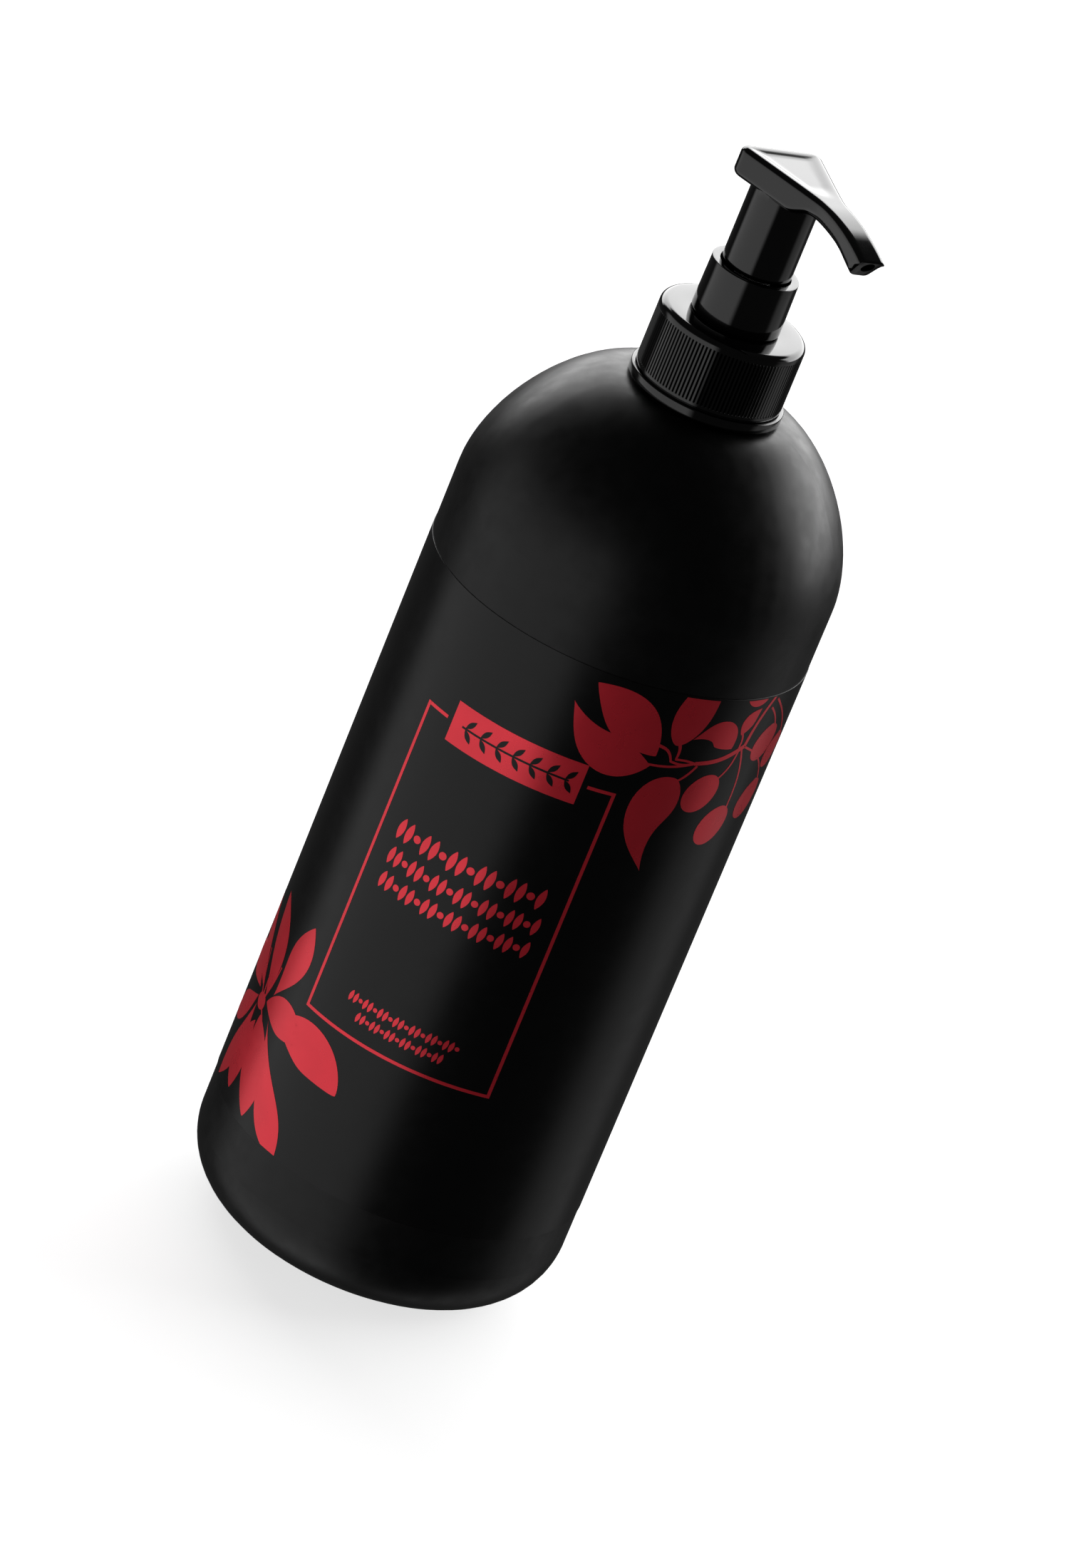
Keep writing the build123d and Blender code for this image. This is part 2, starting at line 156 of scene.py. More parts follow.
class HeadSizes(bpy.types.PropertyGroup):
    """Sizes of the thumb pad and the spout."""

    turn: angle("Turn", "Direction of the spout about the pump's axis", -40.6)
    reach: length("Reach", "From the axis to the spout's end", 34.4)
    back: length("Back", "From the axis to the pad's straight back", 8.3)
    half_width: length("Pad half width", "Half the pad's width at its back", 10.7)
    root: length("Root", "From the axis to the spout's root", 15.25)
    root_half: length("Root half width", "Half the spout's width at its root", 3.44)
    tip_half: length("Tip half width", "Half the spout's width at its end", 3.15)
    corner: length("Corner", "Rounding of the pad's two back corners", 3.2)
    upper_edge: length("Upper edge", "Rounding round the top", 1.3)
    lower_edge: length("Lower edge", "Rounding round the underside", 1.7)
    droop: length("Droop", "Radius in which the spout bends down", 50.0)
    droop_start: length("Droop start", "Where the spout starts to bend down", 17.0)
    dish: length("Dish", "Depth of the pad's dish", 0.4)
    rim: length("Rim", "Width of the rim round the dish", 1.5)
    undercut: length("Undercut", "How far the spout's end slants back", 3.0)
    bore: length("Bore", "Radius of the spout's bore", 1.4)
    skirt: length("Skirt", "Radius of the round skirt", 7.55)
    skirt_edge: length("Skirt edge", "Rounding of the skirt's lower edge", 0.9)


class SpringSizes(bpy.types.PropertyGroup):
    """Sizes of the return spring."""

    wire: length("Wire", "Diameter of the wire", 0.9)
    turns: amount("Turns", "Turns of the wire", 10.4)
    end_turns: amount("End turns", "Closed turns at each end", 0.9)
    pressed: amount(
        "Pressed",
        "Share of its height that the spring keeps when the head is pressed right down",
        0.44,
        max=1.0,
        subtype="FACTOR",
    )


class Finishes(bpy.types.PropertyGroup):
    """Colours of the finishes."""

    bottle: colour("Bottle", "Soft-touch black", (0.0012, 0.0012, 0.0013))
    film: colour("Film", "Satin black film", (0.0012, 0.0012, 0.0013))
    ink: colour("Ink", "Metallic red ink", (0.8, 0.03, 0.05))
    pump: colour("Pump", "Polished black", (0.0009, 0.0009, 0.001))
    gasket: colour("Gasket", "White foam", (0.82, 0.82, 0.8))
    natural: colour("Natural", "Natural translucent plastic", (0.8, 0.82, 0.79))
    wax: colour("Seals", "Waxy white plastic", (0.86, 0.86, 0.83))
    steel: colour("Steel", "Bright steel", (0.62, 0.62, 0.63))


class StageSizes(bpy.types.PropertyGroup):
    """The camera and the soft light."""

    turn: angle("Camera turn", "How far the camera stands to the right of the label's front", 10.9)
    height: angle("Camera height", "Elevation of the camera", 24.2137)
    lean: angle("Camera lean", "How far the camera is rolled to the left", 22.446)
    distance: length("Distance", "From the camera to what it is aimed at", 1714.1)
    aim: length("Aim", "Height that the camera is aimed at", 113.68)
    lens: amount(
        "Lens",
        "Focal length, where the sensor's long side is 36 mm",
        186.39,
        subtype="DISTANCE_CAMERA",
        unit="CAMERA",
    )
    floor: length("Floor", "Radius of the round floor", 6000)
    ambient: amount("Ambient", "Brightness of the room between the panels", 0.045)
    key: amount("Key", "Brightness of the broad panel at the left", 0.95)
    back: amount("Back", "Brightness of the panel behind", 4.4)
    fill: amount("Fill", "Brightness of the panel at the right", 0.3)


# ---------------------------------------------------------------- mesh tools


def smoothstep(value):
    """A smooth rise from 0 to 1, level at both ends."""
    value = np.clip(value, 0.0, 1.0)
    return value * value * (3 - 2 * value)


def grid_faces(rows, columns, wrap_rows=False, wrap_columns=False):
    """Quads of a grid of points that are numbered row by row."""
    number = np.arange(rows * columns).reshape(rows, columns)
    if wrap_rows:
        number = np.vstack([number, number[:1]])
    if wrap_columns:
        number = np.hstack([number, number[:, :1]])
    corners = number[:-1, :-1], number[:-1, 1:], number[1:, 1:], number[1:, :-1]
    return np.stack([c.ravel() for c in corners], axis=1)


def even_angles(count):
    """Angles spread evenly round the axis."""
    return np.arange(count) * 2 * math.pi / count


def plain_mesh(name, points, faces):
    """A mesh from points in millimetres in the frame."""
    mesh = bpy.data.meshes.new(name)
    mesh.from_pydata((np.asarray(points, float) * MM).tolist(), [], [list(face) for face in faces])
    return mesh


def make_piece(name, points, faces, material, body, sharp=40.0):
    """A mesh piece from points in millimetres in the frame, which rides on a body."""
    return dress_piece(name, plain_mesh(name, points, faces), material, body, sharp)


def dress_piece(name, mesh, material, body, sharp):
    """An object round a finished mesh, with outward faces, smooth shading and sharp creases."""
    edit = bmesh.new()
    edit.from_mesh(mesh)
    bmesh.ops.recalc_face_normals(edit, faces=edit.faces)
    edit.to_mesh(mesh)
    edit.free()
    mesh.shade_smooth()
    mesh.set_sharp_from_angle(angle=math.radians(sharp))
    mesh.materials.append(material)
    piece = bpy.data.objects.new(name, mesh)
    bpy.context.scene.collection.objects.link(piece)
    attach(piece, body)
    return piece


def outline(corners, longest=3.0):
    """A closed outline from corners (radius, height, rounding), with its straights split up."""
    corners = [np.array([*c, 0.0][:3], float) for c in corners]
    points = []
    for i, corner in enumerate(corners):
        here, turn = corner[:2], corner[2]
        before = corners[i - 1][:2] - here
        after = corners[(i + 1) % len(corners)][:2] - here
        if turn > 0:
            before /= np.linalg.norm(before)
            after /= np.linalg.norm(after)
            half = math.acos(np.clip(before @ after, -1, 1)) / 2
            centre = here + (before + after) / np.linalg.norm(before + after) * turn / math.sin(half)
            start = here + before * turn / math.tan(half) - centre
            end = here + after * turn / math.tan(half) - centre
            sweep = math.pi - 2 * half
            for k in range(ROUND_STEPS + 1):
                share = k / ROUND_STEPS
                mix = math.sin((1 - share) * sweep) * start + math.sin(share * sweep) * end
                points.append(centre + mix / math.sin(sweep))
        else:
            points.append(here)
    split = []
    for here, there in zip(points, points[1:] + points[:1]):
        count = max(1, math.ceil(np.linalg.norm(there - here) / longest))
        split += [here + (there - here) * k / count for k in range(count)]
    return np.array(split)


def lathe_points(profile, angles, relief=None):
    """Points of a profile turned about the axis. relief(radii, heights, angles) moves them in or out."""
    radii = np.repeat(profile[:, :1], len(angles), axis=1)
    heights = np.repeat(profile[:, 1:2], len(angles), axis=1)
    round_angles = np.repeat(angles[None, :], len(profile), axis=0)
    if relief is not None:
        radii = radii + relief(radii, heights, round_angles)
    points = [radii * np.cos(round_angles), radii * np.sin(round_angles), heights]
    return np.stack(points, axis=-1).reshape(-1, 3)


def make_lathe(name, profile, angles, material, body, relief=None, sharp=40.0):
    """A closed ring-shaped piece turned from a closed profile."""
    points = lathe_points(profile, angles, relief)
    faces = grid_faces(len(profile), len(angles), wrap_rows=True, wrap_columns=True)
    return make_piece(name, points, faces, material, body, sharp)


def cut_mesh(mesh, tool, operation):
    """The mesh after a Boolean operation with a tool mesh."""
    first = bpy.data.objects.new("work", mesh)
    second = bpy.data.objects.new("tool", tool)
    for item in (first, second):
        bpy.context.scene.collection.objects.link(item)
    step = first.modifiers.new("cut", "BOOLEAN")
    step.operation = operation
    step.solver = "EXACT"
    step.object = second
    graph = bpy.context.evaluated_depsgraph_get()
    result = bpy.data.meshes.new_from_object(first.evaluated_get(graph))
    for item in (first, second):
        bpy.data.objects.remove(item)
    return result


def loose_mesh(points, faces):
    """A closed mesh with outward faces, for cut_mesh, from points in millimetres."""
    mesh = plain_mesh("loose", points, faces)
    edit = bmesh.new()
    edit.from_mesh(mesh)
    bmesh.ops.remove_doubles(edit, verts=edit.verts, dist=1e-7)
    bmesh.ops.recalc_face_normals(edit, faces=edit.faces)
    edit.to_mesh(mesh)
    edit.free()
    return mesh


def bore_mesh(radius, start, end, sides=48):
    """A round cutter from one point to another, in millimetres."""
    start, end = Vector(start), Vector(end)
    turn = (end - start).to_track_quat("Z", "Y").to_matrix()
    rings = []
    for place in (start, end):
        for a in even_angles(sides):
            rings.append(place + turn @ Vector((radius * math.cos(a), radius * math.sin(a), 0)))
    faces = grid_faces(2, sides, wrap_columns=True).tolist()
    faces += [list(range(sides)), list(range(sides, 2 * sides))]
    return rings, faces


# ---------------------------------------------------------------- finishes


def add_node(tree, kind, sockets=None, **settings):
    """A shader node, with values or other nodes' outputs for its inputs."""
    made = tree.nodes.new(kind)
    for name, value in settings.items():
        setattr(made, name, value)
    for name, value in (sockets or {}).items():
        if isinstance(value, bpy.types.NodeSocket):
            tree.links.new(value, made.inputs[name])
        else:
            made.inputs[name].default_value = value
    return made


def speckle(tree, place, size, detail=2.0, stretch=(1, 1, 1)):
    """Noise with grains of one size in metres, stretched along an axis if wanted."""
    scaled = add_node(tree, "ShaderNodeVectorMath", {0: place, 1: stretch}, operation="MULTIPLY")
    sockets = {"Vector": scaled.outputs[0], "Scale": 1 / size, "Detail": detail}
    return add_node(tree, "ShaderNodeTexNoise", sockets).outputs["Fac"]


def ramp(tree, value, low, high, from_low=0.35, from_high=0.65):
    """A noise value mapped to a range."""
    sockets = {"Value": value, "From Min": from_low, "From Max": from_high, "To Min": low, "To Max": high}
    return add_node(tree, "ShaderNodeMapRange", sockets).outputs["Result"]


def finish(name, base, roughness, grain, ripple, clouding=0.12, stretch=(1, 1, 1), **values):
    """A moulded, printed or drawn surface.

    base is its colour, which clouds by the share clouding. roughness is (least, most). grain and ripple
    are (size, height) of the fine texture and of the slow waves, in metres, and stretch draws them out
    along an axis. values are for the shader's own sockets."""
    cloud_size, patch_size = 0.012, 0.004
    material = bpy.data.materials.new("finish_" + name)
    material.use_nodes = True
    tree = material.node_tree
    surface = tree.nodes["Principled BSDF"]
    place = add_node(tree, "ShaderNodeTexCoord").outputs["Object"]
    cloud = speckle(tree, place, cloud_size, 3.0)
    shade = ramp(tree, cloud, 1 - clouding, 1 + clouding)
    tint = add_node(tree, "ShaderNodeVectorMath", {0: tuple(base), 3: shade}, operation="SCALE")
    tree.links.new(tint.outputs[0], surface.inputs["Base Color"])
    patches = speckle(tree, place, patch_size, 4.0)
    tree.links.new(ramp(tree, patches, *roughness), surface.inputs["Roughness"])
    fine = speckle(tree, place, grain[0], 2.0, stretch)
    slow = speckle(tree, place, ripple[0], 1.0, stretch)
    waves = add_node(tree, "ShaderNodeBump", {"Height": slow, "Distance": ripple[1], "Strength": 1.0})
    sockets = {"Height": fine, "Distance": grain[1], "Strength": 1.0, "Normal": waves.outputs["Normal"]}
    bump = add_node(tree, "ShaderNodeBump", sockets)
    tree.links.new(bump.outputs["Normal"], surface.inputs["Normal"])
    for socket, value in values.items():
        surface.inputs[socket.replace("_", " ")].default_value = value
    return material


def make_finishes(c):
    """Makes every finish, in the colours that the user can change."""
    ink_metal = {"Metallic": 0.5, "clouding": 0.05}
    clear_housing = {"IOR": 1.49, "Transmission_Weight": 0.3}
    clear_tube = {"IOR": 1.5, "Transmission_Weight": 0.35, "stretch": (1, 1, 0.04)}
    finish("bottle_black", c.bottle, (0.34, 0.42), (0.0004, 3e-6), (0.02, 2e-5), IOR=1.32)
    finish("label_film", c.film, (0.28, 0.32), (0.0003, 8e-7), (0.008, 6e-6), IOR=1.32)
    finish("print_red", c.ink, (0.27, 0.31), (0.0002, 4e-7), (0.006, 4e-6), **ink_metal)
    finish("print_black", c.film, (0.3, 0.36), (0.0002, 2e-6), (0.006, 6e-6), IOR=1.32)
    finish("pump_black", c.pump, (0.05, 0.09), (0.0012, 2e-7), (0.009, 3e-6), IOR=1.5)
    finish("gasket_foam", c.gasket, (0.7, 0.85), (0.0003, 6e-5), (0.002, 5e-5))
    finish("housing_natural", c.natural, (0.28, 0.4), (0.0008, 4e-6), (0.006, 1e-5), **clear_housing)
    finish("tube_natural", c.natural, (0.2, 0.28), (0.0005, 3e-6), (0.004, 8e-6), **clear_tube)
    finish("stem_natural", c.wax, (0.3, 0.4), (0.0006, 3e-6), (0.006, 8e-6), IOR=1.49)
    finish("plug_natural", c.wax, (0.35, 0.45), (0.0006, 4e-6), (0.005, 8e-6), IOR=1.49)
    finish("seal_white", c.wax, (0.42, 0.52), (0.0005, 4e-6), (0.004, 8e-6), IOR=1.5)
    finish("spring_steel", c.steel, (0.16, 0.26), (0.00015, 3e-6), (0.003, 4e-6), Metallic=1.0)
    finish("ball_steel", c.steel, (0.05, 0.1), (0.0002, 5e-7), (0.003, 1e-6), Metallic=1.0)


def finish_named(name):
    """One of the finishes. All of them are made the first time."""
    if "finish_bottle_black" not in bpy.data.materials:
        make_finishes(bpy.context.scene.bottle_finishes)
    return bpy.data.materials["finish_" + name]


def paint_node(node, material_name):
    """Gives a frame node its finish in place of the plain one."""
    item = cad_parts[node]
    item.data.materials.clear()
    item.data.materials.append(finish_named(material_name))


# ---------------------------------------------------------------- print on the label

PRINT_MARGIN = 0.4  # bare film at the label's upper and lower edges
LAYER_RISE = 0.0012  # each shape stands this much higher than the last, so overlapping tops differ
LAYERS = 9  # after this many shapes the heights start again
MERGE = 1e-4  # points closer than this are one point


def on_film(points):
    """Flat points (along the surface, height, stand) wrapped round the film. The front's middle is at 0."""
    points = np.asarray(points, float)
    turn = points[:, 0] / label_radius()
    radius = label_radius() + points[:, 2]
    return np.stack([radius * np.sin(turn), -radius * np.cos(turn), points[:, 1]], axis=1)


def label_radius():
    """The outer radius of the film away from its lap, in millimetres."""
    return label_high.x


def along(degrees):
    """The distance along the film for an angle from the front's middle."""
    return math.radians(degrees) * label_radius()


class Print:
    """Flat shapes that are cut to the label, given the ink's height and wrapped round it."""

    def __init__(self, name, material, thickness, stand=0.0):
        self.name, self.material = name, material
        self.thickness, self.stand = thickness, stand
        self.points, self.faces = [], []
        self.layer = 0

    def grid(self, columns):
        """A patch from a list of point columns, clipped at the label's edges."""
        columns = np.asarray(columns, float)
        rows, count = columns.shape[:2]
        edit = bmesh.new()
        corners = [edit.verts.new((x, y, 0)) for x, y in columns.reshape(-1, 2)]
        for face in grid_faces(rows, count).tolist():
            edit.faces.new([corners[i] for i in face])
        bmesh.ops.remove_doubles(edit, verts=edit.verts, dist=MERGE)
        bmesh.ops.dissolve_degenerate(edit, edges=edit.edges, dist=MERGE)
        for height, way in ((label_high.z - PRINT_MARGIN, 1), (label_low.z + PRINT_MARGIN, -1)):
            everything = edit.verts[:] + edit.edges[:] + edit.faces[:]
            place, facing = (0, height, 0), (0, way, 0)
            bmesh.ops.bisect_plane(edit, geom=everything, plane_co=place, plane_no=facing, clear_outer=True)
        if edit.faces:
            bmesh.ops.recalc_face_normals(edit, faces=edit.faces)
            raised = bmesh.ops.extrude_face_region(edit, geom=edit.faces[:])
            low = self.stand - self.thickness / 2
            high = self.stand + self.thickness + self.layer * LAYER_RISE
            for v in edit.verts:
                v.co.z = low
            for v in raised["geom"]:
                if isinstance(v, bmesh.types.BMVert):
                    v.co.z = high
            edit.verts.index_update()
            start = len(self.points)
            self.points += [tuple(v.co) for v in edit.verts]
            self.faces += [[start + v.index for v in f.verts] for f in edit.faces]
            self.layer = (self.layer + 1) % LAYERS
        edit.free()

    def box(self, left, right, low, high, step=1.0):
        """A rectangle, split finely enough to follow the film."""
        count = max(1, math.ceil((right - left) / step))
        places = [left + (right - left) * k / count for k in range(count + 1)]
        self.grid([[(x, y) for y in (low, high)] for x in places])

    def ribbon(self, ends, width, tip_width=None, bend=0.0, steps=28):
        """A stem between two points that bows to one side and thins towards its tip."""
        start, end = np.array(ends[0], float), np.array(ends[1], float)
        tip_width = width if tip_width is None else tip_width
        way = (end - start) / np.linalg.norm(end - start)
        side = np.array([-way[1], way[0]])
        columns = []
        for k in range(steps + 1):
            t = k / steps
            middle = start + (end - start) * t + side * bend * math.sin(math.pi * t)
            slope = way * np.linalg.norm(end - start) + side * bend * math.pi * math.cos(math.pi * t)
            across = np.array([-slope[1], slope[0]]) / np.linalg.norm(slope)
            half = (width + (tip_width - width) * t) / 2
            columns.append([middle - across * half, middle + across * half])
        self.grid(columns)

    def leaf(self, base, tip, width, bend=0.0, belly=0.42, full=1.0, hook=0.0, steps=34, strips=10):
        """A smooth leaf from its base to its tip.

        bend bows it to one side, belly is where it is widest, a small full makes it rounder, and hook
        curls its tip."""
        base, tip = np.array(base, float), np.array(tip, float)
        span = np.linalg.norm(tip - base)
        way = (tip - base) / span
        side = np.array([-way[1], way[0]])
        power = math.log(0.5) / math.log(belly)
        columns = []
        for k in range(steps + 1):
            t = 0.5 - 0.5 * math.cos(math.pi * k / steps)
            curve = bend * math.sin(math.pi * t) + hook * t**4
            slope = way * span + side * (bend * math.pi * math.cos(math.pi * t) + 4 * hook * t**3)
            across = np.array([-slope[1], slope[0]]) / np.linalg.norm(slope)
            middle = base + way * span * t + side * curve
            half = width / 2 * math.sin(math.pi * min(t, 1.0) ** power) ** full
            columns.append([middle + across * half * (2 * j / strips - 1) for j in range(strips + 1)])
        self.grid(columns)

    def berry(self, centre, radius, squeeze=1.0, tilt=0.0, rings=5, sides=40):
        """A round or oval berry, as rings of points round its middle."""
        columns = []
        for k in range(sides + 1):
            a = 2 * math.pi * k / sides
            column = []
            for ring in range(rings + 1):
                x, y = radius * ring / rings * math.cos(a), radius * squeeze * ring / rings * math.sin(a)
                turn_x = x * math.cos(tilt) - y * math.sin(tilt)
                turn_y = x * math.sin(tilt) + y * math.cos(tilt)
                column.append((centre[0] + turn_x, centre[1] + turn_y))
            columns.append(column)
        self.grid(columns)

    def make(self):
        """The finished print, as a piece on the bottle."""
        material = finish_named(self.material)
        return make_piece(self.name, on_film(self.points), self.faces, material, "bottle", 30)


def spot(degrees, height):
    """A place on the flat label, from an angle and a height in millimetres."""
    return (along(degrees), height)


# ---------------------------------------------------------------- operators


class BOTTLE_OT_shell(bpy.types.Operator):
    """Gives the blown bottle its soft-touch black"""

    bl_idname = "oil_bottle.shell"
    bl_label = "Bottle Shell"

    def execute(self, context):
        paint_node("bottle_shell", "bottle_black")
        return {"FINISHED"}


class BOTTLE_OT_label_film(bpy.types.Operator):
    """Makes the film round the bottle, with its end lapped over its start at the back"""

    bl_idname = "oil_bottle.label_film"
    bl_label = "Label Film"

    def execute(self, context):
        s = context.scene.bottle_label
        film = s.film / MM
        columns, edge, bottle_gap = 370, 0.04, 0.003
        climb = math.radians(1.2)
        sweep = np.linspace(0, 2 * math.pi + s.lap, columns)
        turn = math.pi / 2 - s.lap / 2 + sweep
        lift = film * smoothstep((sweep - 2 * math.pi + climb) / climb)
        tall = label_high.z - label_low.z
        heights = [0, edge, *np.linspace(4, tall - 4, 8), tall - edge, tall]
        outer = [(label_radius() - (edge if z in (0, tall) else 0), z) for z in heights]
        inner = [(label_radius() - film + bottle_gap, z) for z in reversed(heights)]
        rows = []
        for radius, z in outer + inner:
            level = np.full_like(sweep, label_low.z + z)
            radii = radius + lift
            rows.append(np.stack([radii * np.cos(turn), radii * np.sin(turn), level], axis=-1))
        points = np.array(rows)
        faces = grid_faces(len(rows), columns, wrap_rows=True).tolist()
        faces.append([row * columns for row in range(len(rows))])
        faces.append([row * columns + columns - 1 for row in reversed(range(len(rows)))])
        material = finish_named("label_film")
        piece = make_piece("label_film", points.reshape(-1, 3), faces, material, "bottle", 30)
        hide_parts("wrap_label")
        return {"FINISHED"}


class BOTTLE_OT_label_panel(bpy.types.Operator):
    """Prints the frame, the banner and the rows of small leaves on the label's front"""

    bl_idname = "oil_bottle.label_panel"
    bl_label = "Label Panel"

    def execute(self, context):
        s = context.scene.bottle_label
        ink = s.ink / MM
        side = s.frame_half * label_radius()
        gap = s.frame_gap * label_radius()
        low, high = s.frame_foot / MM, s.frame_top / MM
        line = s.frame_line / MM
        frame_print = Print("print_frame", "print_red", ink)
        for way in (-1, 1):
            edges = sorted((way * side, way * (side - line)))
            frame_print.box(*edges, low, high)
            frame_print.box(*sorted((way * side, way * gap)), high - line, high)
        frame_print.box(-side, side, low, low + line)
        frame_print.make()

        banner = Print("print_banner", "print_red", ink)
        end = s.banner_half * label_radius()
        banner_low, banner_high = s.banner_foot / MM, s.banner_top / MM
        banner.box(-end, end, banner_low, banner_high)
        banner.make()
        motif = Print("print_banner_motif", "print_black", ink, stand=ink)
        middle = (banner_low + banner_high) / 2
        stem_share, stem_width, leaf_share = 0.82, 0.45, 1.86
        stem_end = end * stem_share
        motif.ribbon(((-stem_end, middle), (stem_end, middle)), stem_width, steps=60)
        pairs, leaf_width = 7, 1.2
        for k in range(pairs):
            x = stem_end * leaf_share * (k / (pairs - 1) - 0.5)
            for way in (-1, 1):
                base, tip = (x, middle + way * 0.1), (x + 2.1, middle + way * 2.6)
                motif.leaf(base, tip, leaf_width, belly=0.5, strips=4)
        motif.make()

        rows = Print("print_leaf_rows", "print_red", ink)
        for left, right, low, high, count in (
            (-24.6, 24.4, 105.2, 110.4, 16),
            (-24.3, 25.8, 99.2, 103.6, 19),
            (-24.0, 25.5, 93.5, 97.7, 19),
            (-18.6, 18.0, 67.5, 70.2, 21),
            (-14.0, 14.6, 64.0, 66.6, 17),
        ):
            start, pitch = along(left), along(right - left) / count
            for k in range(count):
                x = start + pitch * (k + 0.5)
                if k % 3 == 2:
                    rows.berry((x, (low + high) / 2), pitch * 0.4, rings=2, sides=20)
                else:
                    base, tip = (x - pitch * 0.22, low), (x + pitch * 0.22, high)
                    rows.leaf(base, tip, pitch * 0.78, belly=0.5, full=0.8, steps=16, strips=4)
        rows.make()
        return {"FINISHED"}


class BOTTLE_OT_label_sprays(bpy.types.Operator):
    """Prints the spray of leaves and berries at the top right and the spray of leaves at the lower left"""

    bl_idname = "oil_bottle.label_sprays"
    bl_label = "Label Sprays"

    def execute(self, context):
        ink = context.scene.bottle_label.ink / MM
        upper = Print("print_upper_spray", "print_red", ink)
        # The twig comes over the label's upper edge and forks into stalks.
        fork, joint = spot(68.3, 149.3), spot(51.3, 145.4)
        upper.ribbon((spot(75.5, 162), fork), 0.8, 1.0, bend=-0.9)
        upper.ribbon((fork, joint), 1.2, 0.9, bend=0.9)
        upper.ribbon((joint, spot(36, 143.9)), 0.6, 0.5, bend=0.5)
        upper.ribbon((joint, spot(43, 145.4)), 0.6, 0.5, bend=0.5)
        upper.ribbon((spot(43.2, 145.3), spot(37.4, 148.6)), 0.5, 0.7, bend=-0.9)
        upper.ribbon((joint, spot(44.3, 146.0)), 0.5, 0.5, bend=-0.2)
        upper.ribbon((spot(44.5, 146.0), spot(43.2, 150.4)), 0.5, 0.8, bend=-0.5)
        # The two lobes of the broad leaf come first, and then the smaller leaves.
        upper.leaf(spot(38.0, 146.0), spot(14.4, 158.4), 10.4, bend=-1.0, belly=0.48, full=0.9)
        upper.leaf(spot(37.4, 143.6), spot(9.6, 151.6), 9.0, bend=3.3, belly=0.4, full=1.15, hook=-1.2)
        upper.leaf(spot(42.8, 149.2), spot(50.0, 169.0), 8.6, bend=0.6, belly=0.4, full=0.8)
        upper.leaf(spot(62.8, 149.0), spot(47.4, 151.0), 6.4, bend=-3.0, belly=0.36, full=1.3)
        upper.leaf(spot(64.6, 152.2), spot(69.4, 158.4), 3.6, bend=0.7, belly=0.45)
        upper.ribbon((spot(66.0, 149.0), spot(64.9, 152.8)), 0.5, 0.5, bend=-0.4)
        upper.berry(spot(66.3, 162.0), 3.5, 0.85)
        upper.ribbon((spot(52.5, 144.9), spot(46.0, 140.2)), 0.6, 0.5, bend=0.5)
        upper.leaf(spot(47.6, 141.4), spot(46.6, 119.0), 10.4, bend=-3.6, belly=0.28, full=1.15, hook=0.8)
        # Berries hang on stalks from the twig.
        for place, radius, start, bow in (
            ((57.9, 138.2), 5.0, (66.5, 148.4), 0.9),
            ((68.4, 129.8), 5.1, (67.6, 148.6), 1.3),
            ((84.0, 134.0), 5.0, (68.8, 149.0), 1.9),
            ((79.0, 148.8), 4.7, (74.6, 158.0), 0.5),
            ((88.5, 145.2), 4.5, (76.0, 160.0), 0.7),
        ):
            top = (along(place[0]) + radius * 0.55, place[1] + radius * 0.6)
            upper.ribbon((spot(*start), top), 0.5, 0.45, bend=bow)
            upper.berry(spot(*place), radius, 0.82, tilt=0.8)
        upper.make()

        lower = Print("print_lower_spray", "print_red", ink)
        hub = spot(-52.5, 50.6)
        lower.berry(hub, 2.1, 0.9)
        for base, tip, width, bend, belly, full, hook in (
            ((-51.0, 52.0), (-63.8, 73.4), 7.2, -2.4, 0.55, 0.9, 0.0),
            ((-46.8, 54.6), (-39.6, 75.0), 7.6, -1.0, 0.6, 0.9, 0.0),
            ((-49.0, 52.0), (-27.6, 50.6), 8.2, 1.5, 0.5, 0.8, 0.0),
            ((-40.0, 52.0), (-10.2, 48.0), 10.8, 2.2, 0.52, 0.75, -1.6),
            ((-44.5, 49.6), (-21.6, 24.6), 7.6, -0.9, 0.68, 0.9, 0.0),
            ((-49.6, 48.4), (-39.2, 27.6), 9.4, 1.0, 0.5, 0.8, 0.0),
            ((-51.4, 46.2), (-51.5, 29.0), 7.6, -1.6, 0.55, 0.8, 0.0),
            ((-55.0, 49.0), (-64.0, 27.0), 6.2, 1.2, 0.6, 0.9, 0.0),
            ((-56.0, 50.5), (-77.0, 39.0), 6.6, 1.0, 0.55, 0.9, 0.0),
            ((-57.0, 52.0), (-80.0, 55.0), 6.6, -1.0, 0.55, 0.9, 0.0),
            ((-55.0, 53.0), (-76.0, 69.0), 5.8, 1.2, 0.55, 0.9, 0.0),
        ):
            lower.leaf(spot(*base), spot(*tip), width, bend=bend, belly=belly, full=full, hook=hook)
        for tip, bow in (
            ((-60.5, 60.5), 0.5),
            ((-53.5, 62.5), 0.4),
            ((-48.2, 61.0), -0.5),
            ((-43.6, 44.0), 0.5),
        ):
            lower.ribbon((hub, spot(*tip)), 0.55, 0.35, bend=bow)
        lower.make()
        return {"FINISHED"}


